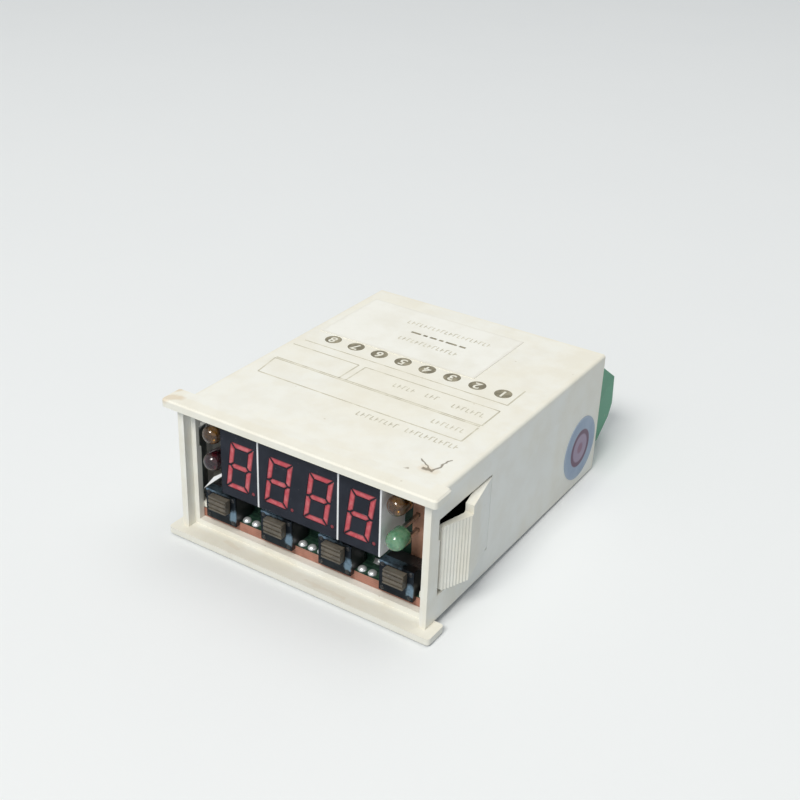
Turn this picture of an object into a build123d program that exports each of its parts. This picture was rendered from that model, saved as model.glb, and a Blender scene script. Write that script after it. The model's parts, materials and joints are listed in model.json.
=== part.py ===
"""Snap-in digital panel meter with an open front.

The origin is the centre of the panel cut-out, on the rear face of the front lips. X runs to the right
as seen from the front, Y to the rear and Z up. All sizes are in millimetres.
"""

import os
from math import atan2, cos, degrees, hypot, radians, sin, tan

from build123d import *

# Case
flange_width = 48.0
flange_height = 24.0
flange_depth = 4.2
lip_thickness = 1.3
lip_corner_radius = 0.6
lip_edge_chamfer = 0.25
lip_overhang = 1.0
post_setback = 1.7
post_thickness = 1.1
ledge_setback = 3.3
ledge_width = 0.7
ledge_depth = 1.05
body_width = 44.8
body_depth = 52.0
body_edge_radius = 0.5
rear_edge_chamfer = 0.3
wall = 1.3
rear_wall = 1.4
rail_width = 1.6
rail_height = 1.0
fit = 0.1

# Snap latch in each side wall: a tongue that bends at its rear end
latch_root = 14.2
latch_height = 12.2
latch_slot = 0.4
latch_rise = 1.9
latch_peak = 5.5
latch_toe = 0.75
latch_toe_thickness = 0.8
latch_arm_thickness = 1.4
latch_front_gap = 0.6
latch_hook_step = 1.3
latch_hook_end = 6.1
latch_corner = 0.5
latch_teeth = 9
latch_tooth_depth = 0.14
latch_travel = 10.0
latch_seam = 0.05
window_notch = 0.4
window_notch_height = 3.5

# Boards
board_thickness = 1.6
board_front = 0.25
display_board_thickness = 1.2
display_board_width = 37.2
display_board_headroom = 0.4
solder_dot_radius = 0.65
solder_dot_height = 0.5
solder_dot_sides = 10
solder_dot_taper = 35
solder_dot_setback = 0.9
solder_dot_places = (-12.5, -10.7, -1.75, 0.0, 1.75, 9.1, 10.9)
solder_fillet_size = 0.6
solder_fillet_width = 1.2
solder_fillet_count = 7
solder_fillet_pitch = 5.0

# Displays
display_setback = 1.9
display_depth = 6.3
display_headroom = 0.5
display_lift = 6.3
digit_pitch = 7.17
module_gap = 0.06
face_thickness = 0.3
face_rim = 0.28
digit_margin = 1.5
digit_width = 4.3
digit_slant = 8.0
segment_width = 0.9
segment_gap = 0.14
segment_depth = 0.9
segment_play = 0.03
dot_radius = 0.32
dot_offset = 2.45
dot_sides = 8
display_pin = 0.5
display_pin_count = 2
display_pin_pitch = 4.0
display_pin_inset = 1.5
pin_stub = 0.6

# LEDs
led_radius = 1.5
led_length = 3.2
led_sides = 20
led_dome_steps = (0, 28, 54, 76)
led_setback = 1.1
led_side_offset = 2.1
led_headroom = 0.95
led_lower_share_left = 0.567
led_lower_share_right = 0.465
led_lead = 0.5
led_lead_pitch = 2.54

# Push switches along the front edge of the main board
switch_count = 4
switch_pitch = 10.75
switch_width = 5.8
switch_height = 4.6
switch_depth = 3.7
switch_overhang = 0.7
cover_thickness = 0.25
cover_tab_depth = 1.2
switch_drop = 0.55
plunger_width = 3.4
plunger_height = 2.4
plunger_stand_out = 1.0
plunger_lift = 2.8
plunger_play = 0.12
plunger_flange = 0.35
plunger_flange_thickness = 0.5
plunger_travel = 0.3
plunger_groove_count = 3
plunger_groove_width = 0.3
plunger_groove_depth = 0.2
leaf_width = 2.0
leaf_half_length = 1.2
leaf_half_crown = 0.4
leaf_height = 0.25
leaf_thickness = 0.1
switch_leg = 0.6
switch_leg_setback = 1.6
switch_leg_inset = 0.7

# Terminals
terminal_count = 8
terminal_pitch = 5.0
header_wall = 0.8
header_depth = 11.0
header_back_wall = 1.6
header_pin = 1.0
header_pin_reach = 8.0
header_pin_tail = 1.2
nose_height = 6.0
nose_tip_gap = 1.0
contact_play = 0.25
plug_gap = 0.3
plug_depth = 11.2
plug_rise = 11.4
plug_drop = 4.9
plug_crown = 2.9
plug_shoulder_rise = 5.9
plug_shoulder_lean = 0.5
plug_chin_rise = 0.5
plug_chin_lean = 1.2
plug_chin_height = 2.3
plug_foot = 6.1
entry_size = 3.6
entry_rise = 2.8
entry_depth = 8.0
clamp_wall = 0.5
clamp_length = 4.0
screw_radius = 1.6
screw_length = 2.8
screw_recess = 0.5
screw_slot_width = 0.6
screw_slot_depth = 0.6

# Pieces on the main board. Each place is across, then behind the display board or ahead of the header
processor_place = (-8.5, 8.0)
processor_size = (11.0, 11.0, 2.0)
converter_place = (8.5, 5.0)
converter_size = (10.0, 5.5, 1.8)
crystal_place = (8.5, 11.0)
crystal_size = (11.0, 4.6, 3.5)
crystal_corner = 1.4
regulator_place = (14.0, 7.0)
regulator_size = (6.6, 6.0, 2.3)
coil_place = (-14.0, 7.0)
coil_size = (8.0, 8.0, 7.0)
coil_corner = 1.5
large_capacitor_place = (-4.0, 7.0)
large_capacitor_radius = 4.0
large_capacitor_height = 11.0
small_capacitor_place = (5.5, 7.0)
small_capacitor_radius = 2.5
small_capacitor_height = 7.0

# Stickers
sticker_thickness = 0.12
top_sticker_width = 29.8
top_sticker_length = 16.7
top_sticker_left = 1.9
top_sticker_rear = 4.4
round_sticker_radius = 5.6
round_sticker_rear = 6.9
round_sticker_drop = 3.6

# Planes that several pieces share
body_half = body_width / 2
body_height = flange_height - 2 * lip_overhang
inner_half = body_half - wall
inner_top = body_height / 2 - wall
ledge_front = ledge_setback - flange_depth
lip_inside = flange_height / 2 - lip_thickness
board_bottom = -inner_top
board_top = board_bottom + board_thickness
display_face = display_setback - flange_depth
display_back = display_face + display_depth
display_board_rear = display_back + display_board_thickness
pin_end = display_board_rear + pin_stub
display_bottom = board_top + display_lift
display_top = inner_top - display_headroom
display_middle = (display_bottom + display_top) / 2
digit_height = display_top - display_bottom - 2 * digit_margin
led_tip = led_setback - flange_depth
led_base = led_tip + led_length
led_side = 2 * digit_pitch + led_side_offset
switch_front = board_front - switch_overhang
switch_top = board_top + switch_height
switch_pocket = plunger_flange_thickness + plunger_travel + leaf_height + 2 * fit
led_upper = inner_top - led_headroom - led_radius
plunger_middle = board_top + plunger_lift
window_half = latch_height / 2 + latch_slot
window_front = latch_toe - latch_front_gap
header_front = body_depth - header_depth
header_half = terminal_count * terminal_pitch / 2 + fit + header_wall
header_top = board_top + nose_height + 2 * (fit + header_wall)
pin_level = (board_top + header_top) / 2
plug_front = body_depth + plug_gap
plug_rear = plug_front + plug_depth
plug_half = terminal_count * terminal_pitch / 2
entry_middle = pin_level + entry_rise


def span(middle, length):
    """The two limits of a length about its middle."""
    return middle - length / 2, middle + length / 2


def block(x, y, z):
    """A box between two limits along each axis."""
    box = Box(x[1] - x[0], y[1] - y[0], z[1] - z[0])
    return Pos((x[0] + x[1]) / 2, (y[0] + y[1]) / 2, (z[0] + z[1]) / 2) * box


def prism_along_x(points, x):
    """A prism between two limits along X, from its outline in Y and Z."""
    outline = make_face(Polyline(*[(x[0], y, z) for y, z in points], close=True))
    return extrude(outline, amount=x[1] - x[0], dir=(1, 0, 0))


def prism_along_y(points, y):
    """A prism between two limits along Y, from its outline in X and Z."""
    outline = make_face(Polyline(*[(x, y[0], z) for x, z in points], close=True))
    return extrude(outline, amount=y[1] - y[0], dir=(0, 1, 0))


def prism_along_z(points, z):
    """A prism between two limits along Z, from its outline in X and Y."""
    outline = make_face(Polyline(*[(x, y, z[0]) for x, y in points], close=True))
    return extrude(outline, amount=z[1] - z[0], dir=(0, 0, 1))


def row(count, pitch):
    """Evenly spaced places about the middle."""
    return [(i - (count - 1) / 2) * pitch for i in range(count)]


def grown(limits, margin):
    """Two limits moved apart by a margin at each end."""
    return limits[0] - margin, limits[1] + margin


def both_sides(shape):
    """A piece of the right side and its mirror image on the left."""
    return [shape, mirror(shape, about=Plane.YZ)]


# Case


def make_lip(top):
    """The top or bottom lip: a plate with rounded wings that stand out past the body."""
    z = (lip_inside, flange_height / 2) if top else (-flange_height / 2, -lip_inside)
    plate = block(span(0, flange_width), (-flange_depth, 0), z)
    plate = fillet(plate.edges().filter_by(Axis.Z), lip_corner_radius)
    outer = plate.faces().sort_by(Axis.Z)[-1 if top else 0]
    return chamfer(outer.edges(), lip_edge_chamfer)


def latch_window():
    """The U-shaped cut in the right wall that frees the latch, with room behind its bend."""
    seam = latch_root + latch_seam
    lean = wall * tan(radians(latch_travel + 2))
    outside = body_half + wall
    inside = inner_half - wall
    plan = [
        (outside, window_front),
        (outside, seam),
        (body_half, seam),
        (inner_half, seam + lean),
        (inside, seam + lean),
        (inside, window_front),
    ]
    notch = block(
        (inside, outside),
        (window_front - window_notch, window_front + window_notch),
        (window_half - window_notch_height, window_half),
    )
    return prism_along_z(plan, (-window_half, window_half)) + notch


def make_case():
    """The moulded case: hollow body, lips, posts, cover ledge, board rails and windows."""
    posts_front = post_setback - flange_depth
    body = block(span(0, body_width), (posts_front, body_depth), span(0, body_height))
    body = fillet(body.edges().filter_by(Axis.Y), body_edge_radius)
    rear = body.faces().sort_by(Axis.Y)[-1]
    body = chamfer(rear.edges(), rear_edge_chamfer)
    case = body + make_lip(True) + make_lip(False)
    ledge_back = ledge_front + ledge_depth
    recess = span(0, 2 * (body_half - post_thickness))
    throat = span(0, 2 * (inner_half - ledge_width))
    case -= block(recess, (-flange_depth, ledge_front), span(0, 2 * lip_inside))
    case -= block(throat, (ledge_front, ledge_back), span(0, 2 * inner_top))
    case -= block(span(0, 2 * inner_half), (ledge_back, body_depth - rear_wall), span(0, 2 * inner_top))
    rail = block(
        (inner_half - rail_width, inner_half),
        (board_front, header_front - fit),
        (board_top + fit, board_top + fit + rail_height),
    )
    case += both_sides(rail)
    case -= both_sides(latch_window())
    case -= block(
        span(0, 2 * (header_half + fit)),
        (body_depth - 2 * rear_wall, body_depth + rear_wall),
        (board_top - fit, header_top + fit),
    )
    return case


def make_latch():
    """The right latch: a tongue bent out to a peak, with a toothed ramp down to its toe."""
    peak = (body_half + latch_rise, latch_peak)
    toe = (body_half, latch_toe)
    run = (toe[0] - peak[0], toe[1] - peak[1])
    length = hypot(*run)
    inward = (run[1] / length * latch_tooth_depth, -run[0] / length * latch_tooth_depth)
    ramp = []
    for i in range(latch_teeth):
        crest = i / latch_teeth
        valley = (i + 0.5) / latch_teeth
        ramp.append((peak[0] + run[0] * crest, peak[1] + run[1] * crest))
        ramp.append((peak[0] + run[0] * valley + inward[0], peak[1] + run[1] * valley + inward[1]))
    plan = [(body_half, latch_root)] + ramp
    plan += [toe, (body_half - latch_toe_thickness, latch_toe)]
    plan += [(peak[0] - latch_arm_thickness, latch_peak), (inner_half, latch_root)]
    tongue = prism_along_z(plan, span(0, latch_height))
    top = latch_height / 2
    hook_top = top - latch_hook_step
    wide = (inner_half, peak[0] + wall)
    tongue -= block(wide, (0, latch_hook_end), (hook_top, top))
    for level, inward in ((hook_top, -1), (-top, 1)):
        corner = [
            (latch_toe, level),
            (latch_toe + latch_corner, level),
            (latch_toe, level + inward * latch_corner),
        ]
        tongue -= prism_along_x(corner, wide)
    return tongue


# Boards


def display_pin_places():
    """Places of the display pins in X and Z: two rows behind each digit."""
    return [
        (digit + pin, level)
        for digit in row(4, digit_pitch)
        for pin in row(display_pin_count, display_pin_pitch)
        for level in (display_bottom + display_pin_inset, display_top - display_pin_inset)
    ]


def led_places():
    """Name, side and height of each LED. The lower ones stand between the switches and the upper ones."""
    room = led_upper - switch_top
    return {
        "led_left_upper": (-led_side, led_upper),
        "led_left_lower": (-led_side, switch_top + led_lower_share_left * room),
        "led_right_upper": (led_side, led_upper),
        "led_right_lower": (led_side, switch_top + led_lower_share_right * room),
    }


def led_lead_places():
    """Places of the LED leads in X and Z, one above the other."""
    return [(x, z + lead) for x, z in led_places().values() for lead in row(2, led_lead_pitch)]


def switch_leg_places():
    """Places of the switch legs across the main board."""
    reach = switch_width - 2 * switch_leg_inset
    return [x + side for x in row(switch_count, switch_pitch) for side in row(2, reach)]


def switch_leg_block(x, margin):
    """A switch leg in its hole, or the hole with its margin."""
    y = span(switch_front + switch_leg_setback, switch_leg)
    return block(grown(span(x, switch_leg), margin), grown(y, margin), (board_bottom, board_top))


def header_pin_shape(x, margin):
    """A bent terminal pin: a tail down into the main board and a blade into the plug."""
    wide = grown(span(x, header_pin), margin)
    bend = header_front - header_pin_tail
    tail = block(wide, grown(span(bend, header_pin), margin), (board_bottom, pin_level))
    blade_end = header_front + header_back_wall + header_pin_reach
    high = grown(span(pin_level, header_pin), margin)
    return tail + block(wide, (bend - header_pin / 2 - margin, blade_end), high)


def make_main_board():
    """The main board on the floor of the case, with holes for legs and pins."""
    y = (board_front, body_depth - rear_wall - fit)
    board = block(span(0, 2 * (inner_half - fit)), y, (board_bottom, board_top))
    board -= [switch_leg_block(x, fit) for x in switch_leg_places()]
    board -= [header_pin_shape(x, fit) for x in row(terminal_count, terminal_pitch)]
    return board


def make_display_board():
    """The upright board behind the displays, drilled for pins and leads."""
    z = (board_top, inner_top - display_board_headroom)
    y = (display_back, display_board_rear)
    board = block(span(0, display_board_width), y, z)
    for places, size in ((display_pin_places(), display_pin), (led_lead_places(), led_lead)):
        hole = size + 2 * fit
        board -= [block(span(x, hole), y, span(level, hole)) for x, level in places]
    return board


def make_solder_joints():
    """Solder beads on the main board, and fillets in the corner where the two boards meet."""
    foot = RegularPolygon(solder_dot_radius, solder_dot_sides)
    bead = extrude(foot, solder_dot_height, taper=solder_dot_taper)
    beads = [Pos(x, board_front + solder_dot_setback, board_top) * bead for x in solder_dot_places]
    corner = [
        (display_back, board_top),
        (display_back - solder_fillet_size, board_top),
        (display_back, board_top + solder_fillet_size),
    ]
    fillets = [
        prism_along_x(corner, span(x, solder_fillet_width))
        for x in row(solder_fillet_count, solder_fillet_pitch)
    ]
    return beads + fillets


# Displays


def digit_outlines(play):
    """The seven segments about the middle of a digit, before its slant. Their ends are mitred at the corners,
    and the middle bar is pointed. Play widens them all round."""
    edge = digit_width / 2 + play
    top = digit_height / 2 + play
    bar = segment_width + 2 * play
    half = bar / 2
    gap = segment_gap - play
    tip = edge - half - gap
    level_bar = (
        (-tip, 0),
        (half - tip, half),
        (tip - half, half),
        (tip, 0),
        (tip - half, -half),
        (half - tip, -half),
    )
    end_bar = (
        (gap - edge, top),
        (edge - gap, top),
        (edge - bar - gap, top - bar),
        (bar + gap - edge, top - bar),
    )
    side_bar = (
        (edge, top - gap),
        (edge - bar, top - bar - gap),
        (edge - bar, half + gap),
        (edge - half, gap),
        (edge, gap),
    )
    outlines = [level_bar]
    for up in (1, -1):
        outlines.append([(x, up * z) for x, z in end_bar])
        outlines += [[(side * x, up * z) for x, z in side_bar] for side in (1, -1)]
    return outlines


def digit_shapes(x, y, play):
    """The seven slanted segments and the dot of one digit, between two limits along Y."""
    lean = tan(radians(digit_slant))
    shapes = []
    for outline in digit_outlines(play):
        points = [(x + px + pz * lean, display_middle + pz) for px, pz in outline]
        shapes.append(prism_along_y(points, y))
    dot_level = display_middle - digit_height / 2 + dot_radius
    dot = extrude(RegularPolygon(dot_radius + play, dot_sides), (y[1] - y[0]) / 2, both=True)
    shapes.append(Pos(x + dot_offset, (y[0] + y[1]) / 2, dot_level) * Rot(90, 0, 0) * dot)
    return shapes


def make_display(digits):
    """One display module over its digits: white body with a rim at the right, dark face, red segments."""
    middle = sum(digits) / len(digits)
    width = len(digits) * digit_pitch - module_gap
    face_back = display_face + face_thickness
    pocket = (display_face, display_face + segment_depth)
    z = (display_bottom, display_top)
    wide = span(middle, width)
    face = block((wide[0], wide[1] - face_rim), (display_face, face_back), z)
    body = block(wide, (display_face, display_back), z) - face
    segments = []
    for x in digits:
        windows = digit_shapes(x, pocket, segment_play)
        body -= windows
        face -= windows
        segments += digit_shapes(x, pocket, 0)
    return body, face, segments


def make_led(x, z):
    """A round LED with its dome to the front, in flat-sided bands."""
    steps = [(led_radius * cos(radians(turn)), led_radius * sin(radians(turn))) for turn in led_dome_steps]
    straight = led_length - steps[-1][1]
    lens = extrude(RegularPolygon(led_radius, led_sides, major_radius=False), straight)
    for (low_radius, low), (high_radius, high) in zip(steps, steps[1:]):
        lean = degrees(atan2(low_radius - high_radius, high - low))
        ring = RegularPolygon(low_radius, led_sides, major_radius=False)
        lens += Pos(0, 0, straight + low) * extrude(ring, high - low, taper=lean)
    return Pos(x, led_base, z) * Rot(90, 0, 0) * lens


def lead_blocks(places, size, y):
    """Square wires along Y at the given places in X and Z."""
    return [block(span(x, size), y, span(z, size)) for x, z in places]


# Push switches


def plunger_limits(x, margin):
    """The plunger's sides in X and Z with a margin all round."""
    return grown(span(x, plunger_width), margin), grown(span(plunger_middle, plunger_height), margin)


def make_switch_body(x):
    """The black switch housing: a pocket for the flange and the snap leaf, a skirt over the board's edge."""
    y = (switch_front, switch_front + switch_depth)
    body = block(span(x, switch_width), y, (board_top, switch_top - cover_thickness))
    skirt_y = (switch_front, board_front - fit)
    body += block(span(x, switch_width), skirt_y, (board_top - switch_drop, board_top))
    wide, high = plunger_limits(x, plunger_flange + plunger_play)
    return body - block(wide, (switch_front, switch_front + switch_pocket), high)


def make_switch_cover(x):
    """The steel cover: a front plate with a window, folded over the top of the housing."""
    wide = span(x, switch_width)
    front = switch_front - cover_thickness
    plate = block(wide, (front, switch_front), (board_top - switch_drop, switch_top))
    fold = (switch_top - cover_thickness, switch_top)
    tab = block(wide, (switch_front, switch_front + cover_tab_depth), fold)
    window_wide, window_high = plunger_limits(x, plunger_play)
    return plate + tab - block(window_wide, (front, switch_front), window_high)


def make_button(x):
    """The plunger: a grooved front and a flange that the cover keeps in."""
    wide, high = plunger_limits(x, 0)
    front = switch_front - cover_thickness - plunger_stand_out
    flange_front = switch_front + fit / 2
    flange_wide, flange_high = plunger_limits(x, plunger_flange)
    plunger = block(wide, (front, flange_front), high)
    plunger += block(flange_wide, (flange_front, flange_front + plunger_flange_thickness), flange_high)
    spacing = plunger_height / plunger_groove_count
    grooves = [plunger_middle + step for step in row(plunger_groove_count, spacing)]
    deep = (front, front + plunger_groove_depth)
    return plunger - [block(wide, deep, span(level, plunger_groove_width)) for level in grooves]


def make_leaf(x):
    """The snap leaf on the floor of the switch pocket, bent up in its middle."""
    floor = switch_front + switch_pocket
    crown = floor - leaf_height
    slant = leaf_thickness / 2
    outline = [
        (floor, plunger_middle - leaf_half_length),
        (crown, plunger_middle - leaf_half_crown),
        (crown, plunger_middle + leaf_half_crown),
        (floor, plunger_middle + leaf_half_length),
        (floor, plunger_middle + leaf_half_length - 2 * leaf_thickness),
        (crown + leaf_thickness, plunger_middle + leaf_half_crown - slant),
        (crown + leaf_thickness, plunger_middle - leaf_half_crown + slant),
        (floor, plunger_middle - leaf_half_length + 2 * leaf_thickness),
    ]
    return prism_along_x(outline, span(x, leaf_width))


# Terminals


def make_header():
    """The green socket at the rear of the main board, open to the rear."""
    shell = block(span(0, 2 * header_half), (header_front, body_depth), (board_top, header_top))
    cavity = span(0, 2 * (header_half - header_wall))
    shell -= block(
        cavity,
        (header_front + header_back_wall, body_depth),
        (board_top + header_wall, header_top - header_wall),
    )
    holes = grown(span(pin_level, header_pin), fit)
    wall_span = (header_front, header_front + header_back_wall)
    return shell - [
        block(grown(span(x, header_pin), fit), wall_span, holes)
        for x in row(terminal_count, terminal_pitch)
    ]


def plug_profile():
    """The plug's side outline in Y and Z, from its top front corner."""
    top = pin_level + plug_rise
    chin = pin_level + plug_chin_rise
    return [
        (plug_front, top),
        (plug_front + plug_crown, top),
        (plug_rear - plug_shoulder_lean, pin_level + plug_shoulder_rise),
        (plug_rear, chin),
        (plug_rear - plug_chin_lean, chin - plug_chin_height),
        (plug_front + plug_foot, pin_level - plug_drop),
        (plug_front, pin_level - plug_drop),
    ]


def on_slope(x, depth):
    """A place under the middle of the plug's sloping top, with its Z straight out of the slope."""
    high, low = plug_profile()[1:3]
    length = hypot(low[0] - high[0], low[1] - high[1])
    outward = ((high[1] - low[1]) / length, (low[0] - high[0]) / length)
    y = (high[0] + low[0]) / 2 - outward[0] * depth
    z = (high[1] + low[1]) / 2 - outward[1] * depth
    return Pos(x, y, z) * Rot(-degrees(atan2(*outward)), 0, 0)


def make_plug():
    """The terminal plug: a nose in the header, screw wells on its slope and wire entries behind."""
    plug = prism_along_x(plug_profile(), (-plug_half, plug_half))
    nose_front = header_front + header_back_wall + nose_tip_gap
    plug += block((-plug_half, plug_half), (nose_front, plug_front), span(pin_level, nose_height))
    contact = header_pin + 2 * contact_play
    contact_end = header_front + header_back_wall + header_pin_reach + contact_play
    well = screw_recess + screw_length
    entry = (plug_rear - entry_depth, plug_rear)
    for x in row(terminal_count, terminal_pitch):
        plug -= block(span(x, contact), (nose_front, contact_end), span(pin_level, contact))
        plug -= block(span(x, entry_size), entry, span(entry_middle, entry_size))
        plug -= on_slope(x, well / 2) * Cylinder(screw_radius + fit, well)
    return plug


def make_screw(x):
    """A slotted clamp screw in its well."""
    screw = on_slope(x, screw_recess + screw_length / 2) * Cylinder(screw_radius, screw_length)
    slot = Box(2 * screw_radius, screw_slot_width, 2 * screw_slot_depth)
    return screw - on_slope(x, screw_recess) * slot


def make_clamp(x):
    """The metal cage that the wire goes into."""
    start = plug_rear - entry_depth
    y = (start, start + clamp_length)
    outer = entry_size - 2 * fit
    inner = outer - 2 * clamp_wall
    cage = block(span(x, outer), y, span(entry_middle, outer))
    return cage - block(span(x, inner), y, span(entry_middle, inner))


# Pieces on the main board


def behind_display(place):
    """A place on the main board behind the display board."""
    return place[0], display_board_rear + place[1]


def ahead_of_header(place):
    """A place on the main board ahead of the terminal header."""
    return place[0], header_front - place[1]


def board_block(place, size):
    """A flat component on the main board."""
    x, y = place
    return block(span(x, size[0]), span(y, size[1]), (board_top, board_top + size[2]))


def board_can(place, radius, height):
    """A round component standing on the main board."""
    return Pos(*place, board_top + height / 2) * Cylinder(radius, height)


def cut_corner_block(place, size, corner):
    """A component on the main board with its upright corners cut."""
    return chamfer(board_block(place, size).edges().filter_by(Axis.Z), corner)


# Stickers


def make_top_sticker():
    """The blank paper sticker on the top of the case."""
    left = top_sticker_left - body_half
    rear = body_depth - top_sticker_rear
    top = body_height / 2
    x = (left, left + top_sticker_width)
    return block(x, (rear - top_sticker_length, rear), (top, top + sticker_thickness))


def make_round_sticker():
    """The round sticker on the right side of the case."""
    place = Pos(body_half + sticker_thickness / 2, body_depth - round_sticker_rear, -round_sticker_drop)
    return place * Rot(0, 90, 0) * Cylinder(round_sticker_radius, sticker_thickness)


# Every piece by name

digits = row(4, digit_pitch)
switches = row(switch_count, switch_pitch)
terminals = row(terminal_count, terminal_pitch)
right_latch = make_latch()
pieces = {
    "case": make_case(),
    "right_latch": right_latch,
    "left_latch": mirror(right_latch, about=Plane.YZ),
    "main_board": make_main_board(),
    "display_board": make_display_board(),
    "solder_joints": make_solder_joints(),
    "display_pins": lead_blocks(display_pin_places(), display_pin, (display_back, pin_end)),
    "led_leads": lead_blocks(led_lead_places(), led_lead, (led_base, pin_end)),
    "snap_leaves": [make_leaf(x) for x in switches],
    "switch_legs": [switch_leg_block(x, 0) for x in switch_leg_places()],
    "terminal_header": make_header(),
    "header_pins": [header_pin_shape(x, 0) for x in terminals],
    "terminal_plug": make_plug(),
    "terminal_screws": [make_screw(x) for x in terminals],
    "wire_clamps": [make_clamp(x) for x in terminals],
    "processor": board_block(behind_display(processor_place), processor_size),
    "converter_chip": board_block(behind_display(converter_place), converter_size),
    "crystal": cut_corner_block(behind_display(crystal_place), crystal_size, crystal_corner),
    "regulator": board_block(ahead_of_header(regulator_place), regulator_size),
    "supply_coil": cut_corner_block(ahead_of_header(coil_place), coil_size, coil_corner),
    "large_capacitor": board_can(
        ahead_of_header(large_capacitor_place), large_capacitor_radius, large_capacitor_height
    ),
    "small_capacitor": board_can(
        ahead_of_header(small_capacitor_place), small_capacitor_radius, small_capacitor_height
    ),
    "top_sticker": make_top_sticker(),
    "round_sticker": make_round_sticker(),
}
for name, group in (("left", digits[:1]), ("middle", digits[1:3]), ("right", digits[3:])):
    body, face, segments = make_display(group)
    pieces[f"display_body_{name}"] = body
    pieces[f"display_face_{name}"] = face
    pieces[f"segments_{name}"] = segments
for name, place in led_places().items():
    pieces[name] = make_led(*place)
for number, x in enumerate(switches, 1):
    pieces[f"switch_body_{number}"] = make_switch_body(x)
    pieces[f"switch_cover_{number}"] = make_switch_cover(x)
    pieces[f"button_{number}"] = make_button(x)

os.makedirs("parts", exist_ok=True)
for name, piece in pieces.items():
    shape = Compound(children=piece) if isinstance(piece, list) else piece
    export_step(shape, f"parts/{name}.step")
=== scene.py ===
# %% [markdown]
# # Dressing a snap-in digital panel meter
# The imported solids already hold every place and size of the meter: the ivory case, the boards, the slanted
# displays, the push switches and the terminal plug. This lesson gives them their finishes and adds the small
# pieces that live on their surfaces: segment windows with a soft rim, clear LED lenses, round solder beads,
# rivets and the print on the top.

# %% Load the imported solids
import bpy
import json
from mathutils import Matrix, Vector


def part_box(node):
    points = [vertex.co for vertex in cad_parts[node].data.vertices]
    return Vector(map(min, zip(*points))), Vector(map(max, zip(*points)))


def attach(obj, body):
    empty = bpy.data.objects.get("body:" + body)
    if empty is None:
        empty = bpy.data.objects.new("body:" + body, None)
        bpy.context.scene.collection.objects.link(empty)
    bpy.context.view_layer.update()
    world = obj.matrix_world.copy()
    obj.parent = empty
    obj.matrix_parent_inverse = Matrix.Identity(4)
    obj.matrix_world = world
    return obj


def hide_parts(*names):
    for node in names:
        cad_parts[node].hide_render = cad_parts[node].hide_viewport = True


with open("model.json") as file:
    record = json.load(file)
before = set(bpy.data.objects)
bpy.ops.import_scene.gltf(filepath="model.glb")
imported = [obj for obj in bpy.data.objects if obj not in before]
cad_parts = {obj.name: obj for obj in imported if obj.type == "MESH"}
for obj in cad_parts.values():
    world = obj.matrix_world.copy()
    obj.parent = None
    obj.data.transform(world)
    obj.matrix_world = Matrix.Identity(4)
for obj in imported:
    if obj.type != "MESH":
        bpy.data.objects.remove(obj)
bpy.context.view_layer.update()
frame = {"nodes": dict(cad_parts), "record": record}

# %% Tools of the lesson
import json
import math
import bpy
import numpy as np
from mathutils import Matrix, Vector

MM = 0.001
scene = bpy.context.scene
scene.view_settings.view_transform = "Standard"

# %% [markdown]
# ## The camera
# The meter is seen from its front right and from above. The camera's place comes from the case's corners in
# the picture: a heading, a downward tilt, a small roll and a distance are enough, with no lens shift.

# %% Camera
heading, tilt, roll = (math.radians(angle) for angle in (32.106, 28.075, 2.210))
camera_place = Vector((90.812, -120.529, 98.321)) * MM
picture_width, focal_pixels, sensor = 800, 1226.0, 36.0

ahead = Vector((-math.sin(heading) * math.cos(tilt), math.cos(heading) * math.cos(tilt), -math.sin(tilt)))
level_right = Vector((math.cos(heading), math.sin(heading), 0.0))
level_up = level_right.cross(ahead)
camera_right = math.cos(roll) * level_right + math.sin(roll) * level_up
camera_up = math.cos(roll) * level_up - math.sin(roll) * level_right
camera = bpy.data.objects.new("camera", bpy.data.cameras.new("camera"))
camera.data.sensor_fit = "HORIZONTAL"
camera.data.sensor_width = sensor
camera.data.lens = sensor * focal_pixels / picture_width
camera.data.clip_start = 0.005
turn = Matrix((camera_right, camera_up, -ahead)).transposed().to_4x4()
camera.matrix_world = Matrix.Translation(camera_place) @ turn
scene.collection.objects.link(camera)
scene.camera = camera
print("lens:", round(camera.data.lens, 2), "mm")

# %% [markdown]
# ## Colours and nodes in plain words
# A picture gives colours as numbers from 0 to 255, but shaders want linear light, so one helper turns one
# into the other. A second helper adds a shader node and fills its sockets by name, with a value or with a
# link. The others are the few steps that every finish is made of, so that it reads as a short list of what
# feeds what.

# %% Colour and node helpers
def paint(red, green, blue):
    """Linear colour of a picture colour: each channel c from 0 to 1 becomes (c + 0.055) / 1.055 to the power
    2.4, and small ones c / 12.92."""
    c = np.array([red, green, blue]) / 255
    linear = np.where(c <= 0.04045, c / 12.92, ((c + 0.055) / 1.055) ** 2.4)
    return (*linear.tolist(), 1.0)


def put(tree, kind, settings=(), **sockets):
    """Adds a node. Settings are its own options; sockets, by name or as i and a number, are filled with a
    value, or linked if given a socket."""
    node = tree.nodes.new(kind)
    for option, value in dict(settings).items():
        setattr(node, option, value)
    for name, value in sockets.items():
        key = int(name[1:]) if name[0] == "i" and name[1:].isdigit() else name.replace("_", " ")
        if isinstance(value, bpy.types.NodeSocket):
            tree.links.new(value, node.inputs[key])
        else:
            node.inputs[key].default_value = value
    return node


def maths(tree, operation, a, b=0.0, clamp=False):
    """One arithmetic step on two values or sockets."""
    return put(tree, "ShaderNodeMath", {"operation": operation, "use_clamp": clamp}, i0=a, i1=b).outputs[0]


def vectors(tree, operation, **sockets):
    """One step on vectors. Products, lengths and distances come out as a plain value."""
    node = put(tree, "ShaderNodeVectorMath", {"operation": operation}, **sockets)
    return node.outputs["Value" if operation in ("DOT_PRODUCT", "LENGTH", "DISTANCE") else "Vector"]


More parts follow.
